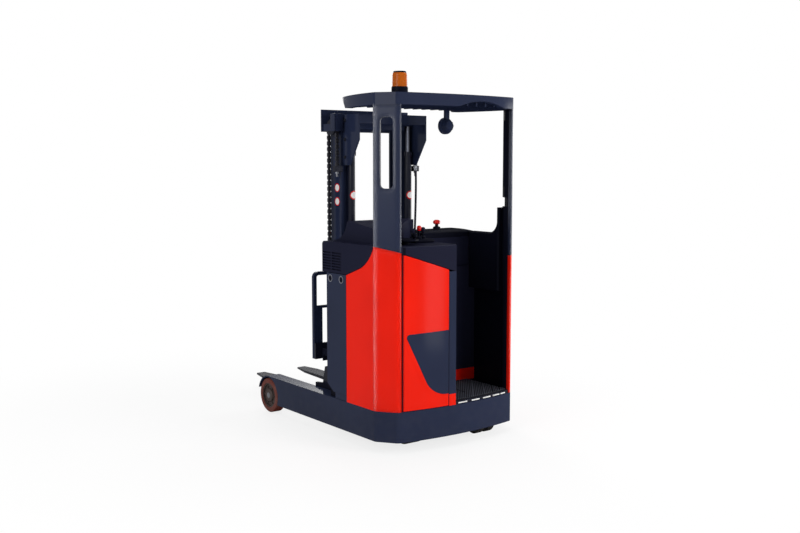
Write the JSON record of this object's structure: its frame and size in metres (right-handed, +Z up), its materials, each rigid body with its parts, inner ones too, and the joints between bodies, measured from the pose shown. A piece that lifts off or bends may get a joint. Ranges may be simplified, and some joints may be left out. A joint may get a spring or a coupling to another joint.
{
  "type": "reach truck",
  "caption": "Stand-on electric reach truck with an overhead guard, a two-stage mast that reaches forward on support legs, tilting forks and a rear service door.",
  "frame": {"origin": "middle of the bounding box on the ground", "axes": "+Y forward towards the fork tips, +X to the truck's right, +Z up"},
  "size_m": [1.136, 2.293, 2.382],
  "materials": {
    "charcoal_paint": "satin",
    "red_paint": "satin",
    "black_paint": "satin",
    "grey_plastic": "fine grain",
    "black_plastic": "fine grain",
    "rubber_mat": "ribbed",
    "polyurethane": "smooth",
    "dark_tyre": "smooth",
    "hub_metal": "turned",
    "bright_steel": "brushed",
    "chain_steel": "oiled",
    "chrome_rod": "polished",
    "cast_dark": "as cast",
    "amber_lens": "clear tint"
  },
  "bodies": {
    "chassis": {"legs": "charcoal_paint", "chassis_frame": "black_paint", "reach_cylinder": "black_paint", "rear_skirt": "charcoal_paint", "platform_floor": "black_paint", "platform_mat": "rubber_mat", "battery_block": "black_plastic", "battery_covers": "charcoal_paint", "side_panels": "red_paint", "corner_panels": "red_paint", "corner_posts": "charcoal_paint", "door_jamb": "charcoal_paint", "cabinet_wall": "black_paint", "cabinet_rim": "grey_plastic", "hood": "grey_plastic", "front_wall": "grey_plastic", "kick_stripe": "red_paint", "side_wall": "black_plastic", "console": "black_plastic", "cowl": "grey_plastic", "side_pad": "black_plastic", "roof_guard": "charcoal_paint", "beacon_base": "black_plastic", "beacon_lens": "amber_lens", "work_lamp": "black_plastic"},
    "door": {"service_door": "red_paint"},
    "reach": {"reach_carriage": "black_paint", "reach_rollers": "bright_steel", "outer_uprights": "charcoal_paint", "mast_yoke": "charcoal_paint", "lift_cylinders": "black_paint", "fixed_chains": "chain_steel"},
    "inner_mast": {"inner_uprights": "charcoal_paint", "inner_ties": "charcoal_paint", "mast_rollers": "bright_steel", "head_plate": "charcoal_paint", "sheaves": "cast_dark", "lift_chains": "chain_steel", "lift_rods": "chrome_rod"},
    "lift_carriage": {"lift_carriage": "black_paint", "carriage_rollers": "bright_steel"},
    "fork_frame": {"fork_frame": "black_paint", "backrest": "charcoal_paint", "forks": "black_paint"},
    "drive_unit": {"drive_yoke": "cast_dark", "drive_motor": "cast_dark"},
    "drive_wheel": {"drive_wheel": "dark_tyre"},
    "caster": {"caster_yoke": "cast_dark"},
    "caster_wheels": {"caster_wheels": "dark_tyre"},
    "load_wheel_left": {"load_tyre_left": "polyurethane", "load_hub_left": "hub_metal"},
    "load_wheel_right": {"load_tyre_right": "polyurethane", "load_hub_right": "hub_metal"}
  },
  "joints": [
    {"name": "reach", "type": "slide", "parent": "chassis", "child": "reach", "axis": [0, 1, 0], "range_m": [0, 0.48]},
    {"name": "mast_lift", "type": "slide", "parent": "reach", "child": "inner_mast", "axis": [0, 0, 1], "range_m": [0, 1.4]},
    {"name": "carriage_lift", "type": "slide", "parent": "inner_mast", "child": "lift_carriage", "axis": [0, 0, 1], "range_m": [0, 1.4]},
    {"name": "fork_tilt", "type": "hinge", "parent": "lift_carriage", "child": "fork_frame", "pos_m": [0, -0.0695, 0.58], "axis": [-1, 0, 0], "range_deg": [-4, 2]},
    {"name": "service_door", "type": "hinge", "parent": "chassis", "child": "door", "pos_m": [-0.439, -1.0895, 0.7], "axis": [0, 0, -1], "range_deg": [0, 85]},
    {"name": "drive_steer", "type": "hinge", "parent": "chassis", "child": "drive_unit", "pos_m": [-0.2535, -0.8985, 0.35], "axis": [0, 0, 1], "range_deg": [-90, 90]},
    {"name": "drive_roll", "type": "hinge", "parent": "drive_unit", "child": "drive_wheel", "pos_m": [-0.2535, -0.8985, 0.15], "axis": [-1, 0, 0], "continuous": true},
    {"name": "caster_swivel", "type": "hinge", "parent": "chassis", "child": "caster", "pos_m": [0.3, -0.9385, 0.24], "axis": [0, 0, 1], "continuous": true},
    {"name": "caster_roll", "type": "hinge", "parent": "caster", "child": "caster_wheels", "pos_m": [0.3, -0.9835, 0.08], "axis": [-1, 0, 0], "continuous": true},
    {"name": "load_wheel_left_roll", "type": "hinge", "parent": "chassis", "child": "load_wheel_left", "pos_m": [-0.526, 0.3675, 0.125], "axis": [-1, 0, 0], "continuous": true},
    {"name": "load_wheel_right_roll", "type": "hinge", "parent": "chassis", "child": "load_wheel_right", "pos_m": [0.526, 0.3675, 0.125], "axis": [-1, 0, 0], "continuous": true}
  ],
  "couplings": [
    {"joint": "carriage_lift", "follows": "mast_lift", "ratio": 1}
  ]
}
